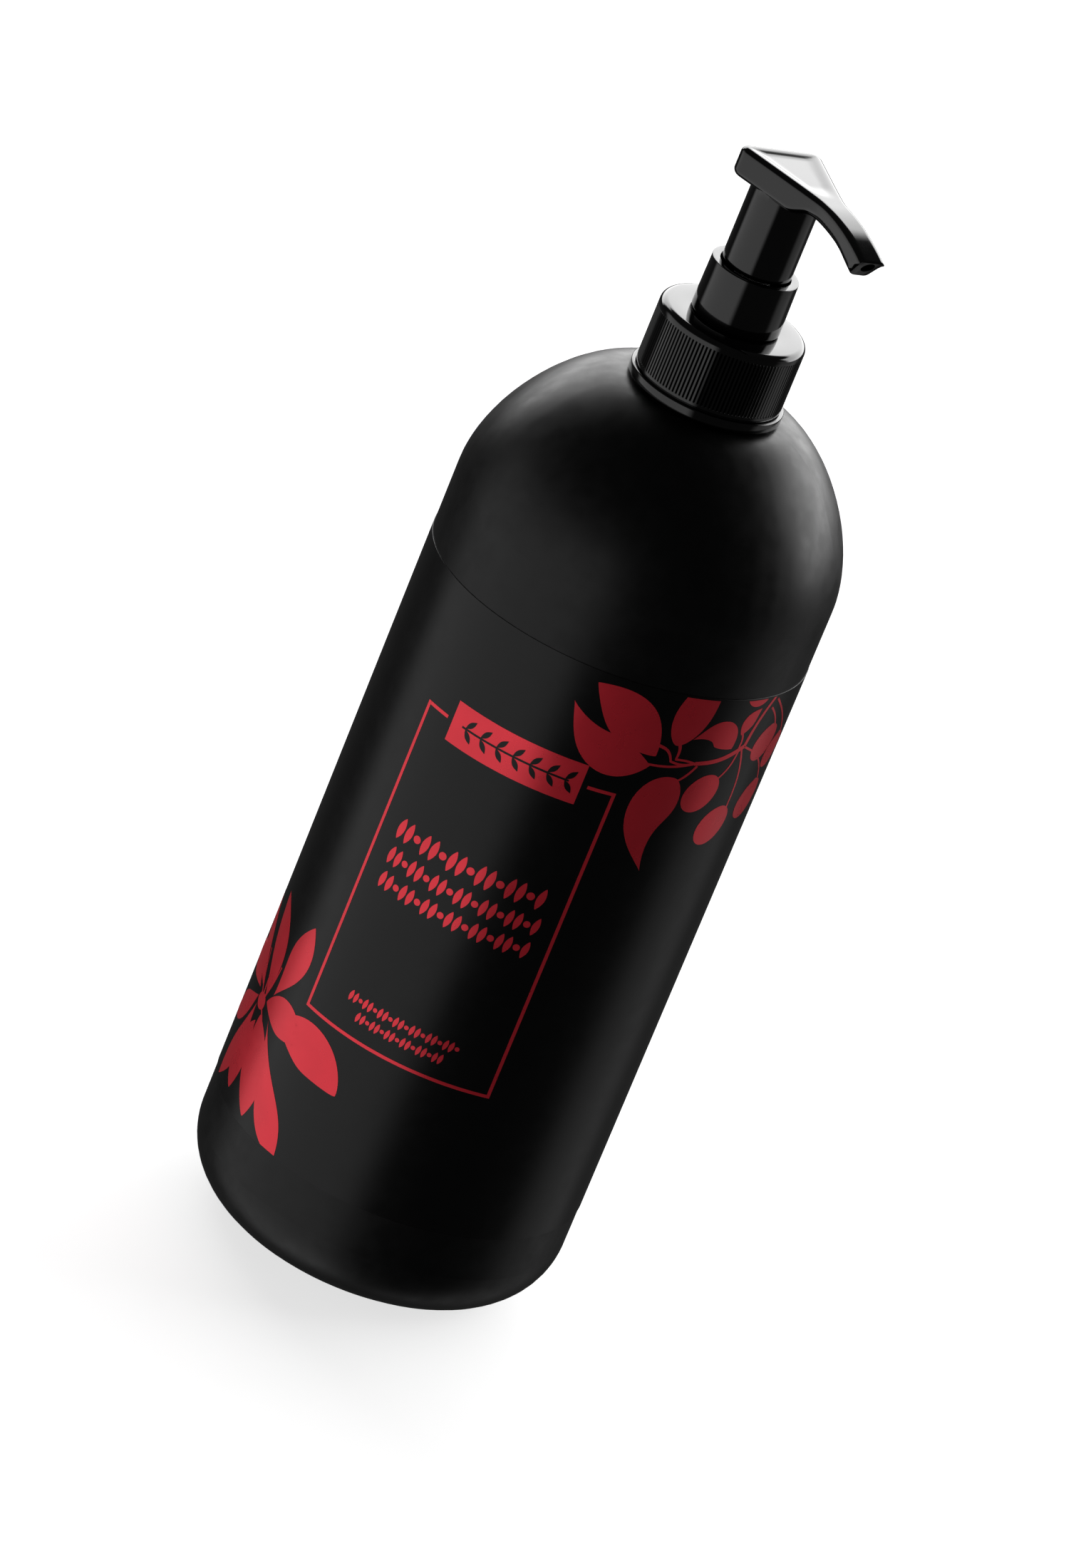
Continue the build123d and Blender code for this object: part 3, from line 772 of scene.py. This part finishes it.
class BOTTLE_OT_closure(bpy.types.Operator):
    """Makes the ribbed screw closure, with its flutes, foot ring and inner thread"""

    bl_idname = "oil_bottle.closure"
    bl_label = "Closure"

    def execute(self, context):
        s = context.scene.bottle_closure
        low, high = closure_low.z, closure_high.z
        ring = closure_high.x
        outer = ring - s.foot_step / MM
        groove = s.groove / MM
        ring_top = low + s.foot_ring / MM
        skirt_wall, hole, top_wall = 2.05, 8.9, 1.45
        bore = outer - skirt_wall
        flute_low = ring_top + groove + s.foot_band / MM
        flute_high = high - s.plain_band / MM
        flute_end = 0.45
        end_steps = [0.0, 0.03, 0.1, 0.22, flute_end]
        half, deep = s.flute_width / MM / 2, s.flute_depth / MM
        pitch = 2 * math.pi / s.flutes
        thread_pitch, thread_turns, thread_depth = INCH / 6, 1.25, 1.1
        thread_foot, thread_flank, thread_fade = 1.1, 0.65, 0.05
        thread_angle, thread_drop = math.radians(36), 11.2272
        thread_start = shell_top - thread_drop
        thread_top = thread_pitch * thread_turns + 1.2
        thread_step = 0.3
        thread_rows = range(int(thread_top / thread_step) + 5)
        corners = [
            (bore, low, 0.2),
            (ring, low, 0.3),
            (ring, ring_top, 0.35),
            (outer - groove, ring_top, 0.08),
            (outer - groove, ring_top + groove, 0.05),
            (outer, ring_top + groove, 0.12),
            *[(outer, flute_low + rise) for rise in end_steps],
            *[(outer, flute_high - rise) for rise in reversed(end_steps)],
            (outer, high, s.rim / MM),
            (hole, high, 0.15),
            (hole, high - top_wall, 0.1),
            (bore, high - top_wall, 0.3),
            *[(bore, thread_start + thread_top - thread_step * k) for k in thread_rows],
        ]

        def flutes(heights, angles):
            """How deep the flutes are at each place."""
            off = (np.mod(angles + pitch / 2, pitch) - pitch / 2) * outer
            ends = np.minimum(heights - flute_low, flute_high - heights)
            depth = np.sqrt(np.clip(1 - (1 - np.clip(ends / flute_end, 0, 1)) ** 2, 0, 1))
            return deep * depth * np.clip(1 - np.abs(off) / half, 0, 1)

        def thread(heights, angles):
            """How far the thread stands in at each place."""
            ridge = np.zeros_like(heights)
            for turn in range(math.ceil(thread_turns) + 1):
                t = np.mod(angles - thread_angle, 2 * math.pi) / (2 * math.pi) + turn
                away = np.abs(heights - thread_start - thread_pitch * t)
                height = np.clip((thread_foot - away) / thread_flank, 0, 1)
                fade = smoothstep(t / thread_fade) * smoothstep((thread_turns - t) / thread_fade)
                ridge = np.maximum(ridge, thread_depth * height * fade)
            return ridge

        def relief(radii, heights, angles):
            """The flutes in the skirt and the thread in the bore, as a change of radius."""
            nearly = 0.01
            skirt = np.where(np.abs(radii - outer) < nearly, flutes(heights, angles), 0.0)
            inside = np.where(np.abs(radii - bore) < nearly, thread(heights, angles), 0.0)
            return -skirt - inside

        edge = half / outer
        across = np.array([-pitch / 2, *(edge * np.array([-1.05, -0.8, -0.4, 0, 0.4, 0.8, 1.05]))])
        angles = (np.arange(s.flutes)[:, None] * pitch + across[None, :]).ravel()
        material = finish_named("pump_black")
        profile = outline(corners)
        piece = make_lathe("closure_cap", profile, angles, material, "closure", relief, 32)
        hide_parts("closure")
        return {"FINISHED"}


class BOTTLE_OT_collar(bpy.types.Operator):
    """Makes the smooth collar that stands on the closure and guides the stem"""

    bl_idname = "oil_bottle.collar"
    bl_label = "Collar"

    def execute(self, context):
        low, high = collar_low.z, collar_high.z
        closure_gap, taper, floor_wall = 0.15, 0.2, 1.6
        foot = closure_high.z + closure_gap
        foot_radius = collar_high.x
        bore, plug, guide = 7.75, 8.6, 4.05
        corners = [
            (guide, low, 0.2),
            (plug, low, 0.25),
            (plug, foot, 0.05),
            (foot_radius, foot, 0.5),
            (foot_radius - taper, high, 0.16),
            (bore, high, 0.2),
            (bore, low + floor_wall, 0.3),
            (guide, low + floor_wall, 0.2),
        ]
        material = finish_named("pump_black")
        profile = outline(corners)
        piece = make_lathe("collar_sleeve", profile, even_angles(256), material, "pump")
        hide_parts("collar")
        return {"FINISHED"}


class BOTTLE_OT_head(bpy.types.Operator):
    """Makes the thumb pad, spout and skirt in one moulding, with the bore through the spout"""

    bl_idname = "oil_bottle.head"
    bl_label = "Head"

    # In millimetres: from the pad's underside to its top, and the roundings of the spout's end.
    pad_height = 6.5
    tip_corner = 0.6
    tip_edge = 0.35

    def execute(self, context):
        s = context.scene.bottle_head
        head = loose_mesh(*self.pad(s))
        head = cut_mesh(head, loose_mesh(*self.skirt(s)), "UNION")
        head = cut_mesh(head, loose_mesh(*self.spout_bore(s)), "DIFFERENCE")
        head.transform(Matrix.Rotation(s.turn, 4, "Z"))
        piece = dress_piece("pump_head", head, finish_named("pump_black"), "head", 38)
        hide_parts("head_body")
        return {"FINISHED"}

    def half_width(self, s, x):
        """Half the width of the pad and spout from above, with rounded corners, at distances x."""
        back, reach, root, corner = s.back / MM, s.reach / MM, s.root / MM, s.corner / MM
        slope = (s.root_half - s.half_width) / (s.root + s.back)
        pad = s.half_width / MM + slope * (x + back)
        spout = s.root_half / MM + (s.tip_half - s.root_half) / MM * (x - root) / (reach - root)
        blend = 0.6
        wide = (pad + spout + np.sqrt((pad - spout) ** 2 + blend**2)) / 2
        from_back = np.clip(corner - (x + back), 0, corner)
        wide = wide - corner + np.sqrt(corner**2 - from_back**2)
        from_tip = np.clip(self.tip_corner - (reach - x), 0, self.tip_corner)
        return wide - self.tip_corner + np.sqrt(self.tip_corner**2 - from_tip**2)

    def plan(self, s):
        """The grid of the pad and spout from above: distances, sideways places and stations."""
        back, reach, corner = s.back / MM, s.reach / MM, s.corner / MM
        near = corner * (1 - np.cos(np.linspace(0, math.pi / 2, 22)))
        tip = [1.1, 0.9, 0.7, 0.55, 0.45, 0.35, 0.25, 0.17, 0.1, 0.05, 0.02, 0.0]
        even = np.arange(-back + corner + 0.5, reach - 1.2, 0.5)
        stations = np.array([*(-back + near), *even, *[reach - d for d in tip]])
        insets = [0, 0.01, 0.04, 0.09, 0.15, 0.22, 0.3, 0.4, 0.5, 0.7, 1.0, 1.3, 1.6, 2.0, 2.5, 3.0]
        narrow = 3.4  # where the half width is less than this, the insets shrink with it
        right = []
        for wide in self.half_width(s, stations):
            inside = wide - np.array(insets) * min(1.0, wide / narrow)
            inner = np.linspace(0, inside[-1], 8)[:-1]
            right.append([*inner, *inside[::-1]])
        right = np.array(right)
        across = np.hstack([-right[:, :0:-1], right])
        return np.repeat(stations[:, None], across.shape[1], axis=1), across, stations

    def rim_distance(self, s, along_pad, across, stations):
        """How far each place of the plan is from the rim, which doesn't count the spout's end."""
        back, reach, corner = s.back / MM, s.reach / MM, s.corner / MM
        rounded = -back + corner * (1 - np.cos(np.linspace(0, math.pi / 2, 80)))
        side_x = np.concatenate([rounded, np.linspace(-back + corner, reach, 520)])
        side_y = self.half_width(s, np.minimum(side_x, reach - self.tip_corner))
        back_y = np.linspace(0, self.half_width(s, np.array([-back]))[0], 40)
        rim_x = np.concatenate([side_x, np.full(len(back_y), -back)])
        rim_y = np.concatenate([side_y, back_y])
        off_x = along_pad.ravel()[:, None] - rim_x[None, :]
        off_y = np.abs(across).ravel()[:, None] - rim_y[None, :]
        distance = np.sqrt((off_x**2 + off_y**2).min(axis=1)).reshape(across.shape)
        distance[0, :] = 0
        before_tip = stations[:-1, None] < reach - self.tip_corner
        distance[:-1, [0, -1]] = np.where(before_tip, 0, distance[:-1, [0, -1]])
        return distance

    def pad(self, s):
        """The pad and spout: an upper skin, a lower skin and the wall between them."""
        x, y, stations = self.plan(s)
        distance = self.rim_distance(s, x, y, stations)
        top, reach = head_high.z, s.reach / MM

        def rounding(radius, away):
            """How much an edge's rounding takes off at a distance from the edge."""
            rest = np.clip(radius - away, 0, radius)
            return radius - np.sqrt(np.clip(radius**2 - rest**2, 0, None))

        past = np.clip(x - s.droop_start / MM, 0, None)
        dish_side, dish_start, dish_end = 2.6, 7.5, 6.0
        dish = s.dish / MM * smoothstep((distance - s.rim / MM) / dish_side)
        dish = dish * (1 - smoothstep((x - dish_start) / dish_end))
        edge = np.maximum(rounding(s.upper_edge / MM, distance), rounding(self.tip_edge, reach - x))
        upper = top - past**2 / (2 * s.droop / MM) - edge - dish
        root_rise, root_start, root_run = 2.1, 7.75, 6.0
        under_start, under_radius = 13.75, 64.6
        rise = root_rise * smoothstep((x - root_start) / root_run)
        lower = top - self.pad_height + rise - np.clip(x - under_start, 0, None) ** 2 / (2 * under_radius)
        lower_edge = s.lower_edge / MM * (1 + 0.25 * smoothstep((x - 8) / 8))
        lower = lower + rounding(lower_edge, distance)
        slant_start = 22
        slant = s.undercut / MM * smoothstep((x - slant_start) / (reach - slant_start))
        top_points = np.stack([x, y, upper], axis=-1).reshape(-1, 3)
        low_points = np.stack([x - slant, y, lower], axis=-1).reshape(-1, 3)

        rows, columns = y.shape
        numbers = np.arange(rows * columns).reshape(rows, columns)
        border = np.array([*numbers[0, :-1], *numbers[:-1, -1], *numbers[-1, :0:-1], *numbers[:0:-1, 0]])
        faces = grid_faces(rows, columns).tolist()
        faces += (grid_faces(rows, columns)[:, ::-1] + rows * columns).tolist()
        wall_steps = 5
        rings = [border]
        between = []
        for k in range(1, wall_steps):
            share = k / wall_steps
            between.append(top_points[border] * (1 - share) + low_points[border] * share)
            rings.append(2 * rows * columns + (k - 1) * len(border) + np.arange(len(border)))
        rings.append(border + rows * columns)
        for a, b in zip(rings, rings[1:]):
            quads = np.stack([a, b, np.roll(b, -1), np.roll(a, -1)], axis=1)
            faces += quads.tolist()
        return np.concatenate([top_points, low_points, *between]), faces

    def skirt(self, s):
        """The round skirt under the pad, with the socket that grips the stem inside it."""
        skirt, skirt_wall = s.skirt / MM, 1.2
        stem, channel, socket_wall, socket_depth = 4.0, 2.4, 1.2, 11.2
        low, under = head_low.z, head_high.z - self.pad_height
        inside_pad = under + 2.0
        corners = [
            (skirt - skirt_wall, low, 0.2),
            (skirt, low, s.skirt_edge / MM),
            (skirt, inside_pad),
            (channel, inside_pad),
            (channel, stem_top),
            (stem, stem_top),
            (stem, stem_top - socket_depth, 0.15),
            (stem + socket_wall, stem_top - socket_depth, 0.15),
            (stem + socket_wall, under),
            (skirt - skirt_wall, under),
        ]
        profile, angles = outline(corners), even_angles(192)
        faces = grid_faces(len(profile), len(angles), wrap_rows=True, wrap_columns=True)
        return lathe_points(profile, angles), faces

    def spout_bore(self, s):
        """The cutter for the bore, from the middle of the pad out through the spout's end."""
        reach, past_end = s.reach / MM, 2
        spout_height, bore_share = 4.4, 0.45
        elbow = head_high.z - self.pad_height / 2
        droop = (reach - s.droop_start / MM) ** 2 / (2 * s.droop / MM)
        end_height = head_high.z - droop - spout_height * bore_share
        far = reach + past_end
        end = (far, 0, elbow + (end_height - elbow) * far / reach)
        return bore_mesh(s.bore / MM, (0, 0, elbow), end)


class BOTTLE_OT_spring(bpy.types.Operator):
    """Winds the return spring, with closed ends"""

    bl_idname = "oil_bottle.spring"
    bl_label = "Return Spring"

    def execute(self, context):
        s = context.scene.bottle_spring
        half = s.wire / MM / 2
        radius = spring_high.x - half
        low, high = spring_low.z + half, spring_high.z - half
        steps_in_turn, sides, smoothing = 48, 16, 25
        steps = int(s.turns * steps_in_turn)
        turn = np.linspace(0, s.turns, steps + 1)
        closed_rise = s.end_turns * 2 * half * 0.25
        middle = np.interp(
            turn,
            [0, s.end_turns, s.turns - s.end_turns, s.turns],
            [low, low + closed_rise, high - closed_rise, high],
        )
        kernel = np.hanning(smoothing) / np.hanning(smoothing).sum()
        padded = np.pad(middle, smoothing // 2, mode="edge")
        middle = np.convolve(padded, kernel, mode="valid")
        a = turn * 2 * math.pi
        path = np.stack([radius * np.cos(a), radius * np.sin(a), middle], axis=-1)
        along_wire = np.gradient(path, axis=0)
        along_wire /= np.linalg.norm(along_wire, axis=1)[:, None]
        out = np.stack([np.cos(a), np.sin(a), np.zeros_like(a)], axis=-1)
        up = np.cross(along_wire, out)
        rings = [path + half * (math.cos(b) * out + math.sin(b) * up) for b in even_angles(sides)]
        points = np.stack(rings, axis=1).reshape(-1, 3)
        faces = grid_faces(steps + 1, sides, wrap_columns=True).tolist()
        faces.append(list(range(sides)))
        faces.append([steps * sides + k for k in reversed(range(sides))])
        material = finish_named("spring_steel")
        piece = make_piece("spring_coil", points, faces, material, "pump", 50)
        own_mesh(piece)
        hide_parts("return_spring")
        return {"FINISHED"}


class BOTTLE_OT_inner_works(bpy.types.Operator):
    """Gives the pump's inner pieces their finishes"""

    bl_idname = "oil_bottle.inner_works"
    bl_label = "Inner Works"

    def execute(self, context):
        for node, material in (
            ("neck_gasket", "gasket_foam"),
            ("pump_housing", "housing_natural"),
            ("dip_tube", "tube_natural"),
            ("stem", "stem_natural"),
            ("stem_seal", "seal_white"),
            ("piston", "seal_white"),
            ("piston_plug", "plug_natural"),
            ("spring_seat", "plug_natural"),
            ("inlet_ball", "ball_steel"),
        ):
            paint_node(node, material)
        return {"FINISHED"}


class BOTTLE_OT_stage(bpy.types.Operator):
    """Sets up the pale floor, the soft panels of light and the camera"""

    bl_idname = "oil_bottle.stage"
    bl_label = "Stage"

    def execute(self, context):
        s = context.scene.bottle_stage
        self.make_floor(s.floor / MM)
        self.make_light(s)
        self.make_camera(s)
        context.scene.view_settings.view_transform = "Standard"
        return {"FINISHED"}

    def make_floor(self, radius):
        """A round pale floor, which lights nothing and shows only to the camera."""
        rings = [0.02, 0.05, 0.1, 0.2, 0.4, 0.7, 1.0]
        angles = even_angles(96)
        points = [(0, 0, 0)]
        for ring in rings:
            points += [(radius * ring * math.cos(a), radius * ring * math.sin(a), 0) for a in angles]
        faces = [[0, 1 + k, 1 + (k + 1) % len(angles)] for k in range(len(angles))]
        faces += (grid_faces(len(rings), len(angles), wrap_columns=True) + 1).tolist()
        mesh = plain_mesh("floor", points, faces)
        pale, grain, ripple = (0.92, 0.92, 0.92), (0.002, 1e-6), (0.2, 1e-6)
        material = finish("floor_paint", pale, (0.85, 0.95), grain, ripple, clouding=0.004)
        surface = material.node_tree.nodes["Principled BSDF"]
        surface.inputs["Specular IOR Level"].default_value = 0.0
        surface.inputs["Emission Color"].default_value = (1, 1, 1, 1)
        surface.inputs["Emission Strength"].default_value = 0.7
        mesh.materials.append(material)
        floor = bpy.data.objects.new("floor", mesh)
        bpy.context.scene.collection.objects.link(floor)
        floor.visible_glossy = False
        floor.visible_diffuse = False
        floor.visible_transmission = False
        floor.visible_shadow = False

    def make_light(self, s):
        """A world of soft panels, in steps of the angle round the bottle and of the height."""
        world = bpy.data.worlds.new("soft_panels")
        bpy.context.scene.world = world
        world.use_nodes = True
        tree = world.node_tree
        tree.nodes.clear()
        way = add_node(tree, "ShaderNodeTexCoord").outputs["Generated"]
        parts = add_node(tree, "ShaderNodeSeparateXYZ", {0: way}).outputs

        def work_out(kind, a, b=0.0, c=0.0):
            """The result of one operation on values or other nodes' outputs."""
            made = add_node(tree, "ShaderNodeMath", {0: a, 1: b, 2: c}, operation=kind)
            return made.outputs[0]

        def step(value, place, soft):
            """A soft step from 0 up to 1 at an angle in degrees."""
            low, high = math.radians(place - soft), math.radians(place + soft)
            sockets = {"Value": value, "From Min": low, "From Max": high}
            made = add_node(tree, "ShaderNodeMapRange", sockets, interpolation_type="SMOOTHSTEP")
            return made.outputs["Result"]

        def window(value, low, high, soft):
            """1 between two angles in degrees and 0 outside them, with soft ends."""
            return work_out("SUBTRACT", step(value, low, soft), step(value, high, soft))

        turn = work_out("ARCTAN2", parts[0], work_out("MULTIPLY", parts[1], -1.0))
        rise = work_out("ARCSINE", parts[2])
        behind = work_out("ABSOLUTE", turn)
        light = s.ambient
        # Angles run from the label's front, to the right, and from the horizon, upwards.
        for strength, across, upright in (
            (s.key, window(turn, -96, 3, 7), window(rise, -88, 16, 8)),
            (s.back, window(behind, 122, 200, 6), window(rise, 2, 36, 3)),
            (s.fill, window(turn, 104, 145, 8), window(rise, -88, 16, 8)),
        ):
            panel = work_out("MULTIPLY", across, upright)
            light = work_out("MULTIPLY_ADD", panel, strength, light)
        room = add_node(tree, "ShaderNodeBackground", {"Color": (1, 1, 1, 1), "Strength": light})
        white = add_node(tree, "ShaderNodeBackground", {"Color": (1, 1, 1, 1), "Strength": 1.0})
        seen = add_node(tree, "ShaderNodeLightPath").outputs["Is Camera Ray"]
        mixed = add_node(tree, "ShaderNodeMixShader", {0: seen, 1: room.outputs[0], 2: white.outputs[0]})
        add_node(tree, "ShaderNodeOutputWorld", {"Surface": mixed.outputs[0]})

    def make_camera(self, s):
        """A camera that looks at the bottle from the label's right, from above, and rolled."""
        data = bpy.data.cameras.new("camera")
        camera = bpy.data.objects.new("camera", data)
        bpy.context.scene.collection.objects.link(camera)
        bpy.context.scene.camera = camera
        flat = math.cos(s.height)
        away = Vector((math.sin(s.turn) * flat, -math.cos(s.turn) * flat, math.sin(s.height)))
        right = Vector((math.cos(s.turn), math.sin(s.turn), 0))
        up = away.cross(right)
        tilted_right = math.cos(s.lean) * right + math.sin(s.lean) * up
        tilted_up = -math.sin(s.lean) * right + math.cos(s.lean) * up
        place = Vector((0, 0, s.aim)) + away * s.distance
        turned = Matrix((tilted_right, tilted_up, away)).transposed().to_4x4()
        camera.matrix_world = Matrix.Translation(place) @ turned
        data.lens = s.lens
        data.sensor_width = 36.0
        data.clip_start, data.clip_end = 0.05, 50.0


class BOTTLE_PT_panel(bpy.types.Panel):
    """Lists the pieces in the order in which they are made"""

    bl_label = "Oil Bottle"
    bl_idname = "BOTTLE_PT_panel"
    bl_space_type = "VIEW_3D"
    bl_region_type = "UI"
    bl_category = "Oil Bottle"

    def draw(self, context):
        for operator in OPERATORS:
            self.layout.operator(operator.bl_idname)
        for group in GROUPS:
            box = self.layout.box()
            box.label(text=group)
            settings = getattr(context.scene, group)
            for name in GROUPS[group].__annotations__:
                box.prop(settings, name)


GROUPS = {
    "bottle_label": LabelSizes,
    "bottle_closure": ClosureSizes,
    "bottle_head": HeadSizes,
    "bottle_spring": SpringSizes,
    "bottle_finishes": Finishes,
    "bottle_stage": StageSizes,
}
OPERATORS = (
    BOTTLE_OT_shell,
    BOTTLE_OT_label_film,
    BOTTLE_OT_label_panel,
    BOTTLE_OT_label_sprays,
    BOTTLE_OT_closure,
    BOTTLE_OT_collar,
    BOTTLE_OT_head,
    BOTTLE_OT_spring,
    BOTTLE_OT_inner_works,
    BOTTLE_OT_stage,
)


def register():
    """Adds the settings, the operators and the panel to Blender."""
    for group in GROUPS.values():
        bpy.utils.register_class(group)
    for name, group in GROUPS.items():
        setattr(bpy.types.Scene, name, PointerProperty(type=group))
    for item in (*OPERATORS, BOTTLE_PT_panel):
        bpy.utils.register_class(item)


def unregister():
    """Takes the panel, the operators and the settings away again."""
    for item in reversed((*OPERATORS, BOTTLE_PT_panel)):
        bpy.utils.unregister_class(item)
    for name in GROUPS:
        delattr(bpy.types.Scene, name)
    for group in reversed(GROUPS.values()):
        bpy.utils.unregister_class(group)


def main():
    """Makes the bottle and its stage."""
    register()
    for operator in OPERATORS:
        space, name = operator.bl_idname.split(".")
        getattr(getattr(bpy.ops, space), name)()


if __name__ == "__main__":
    main()
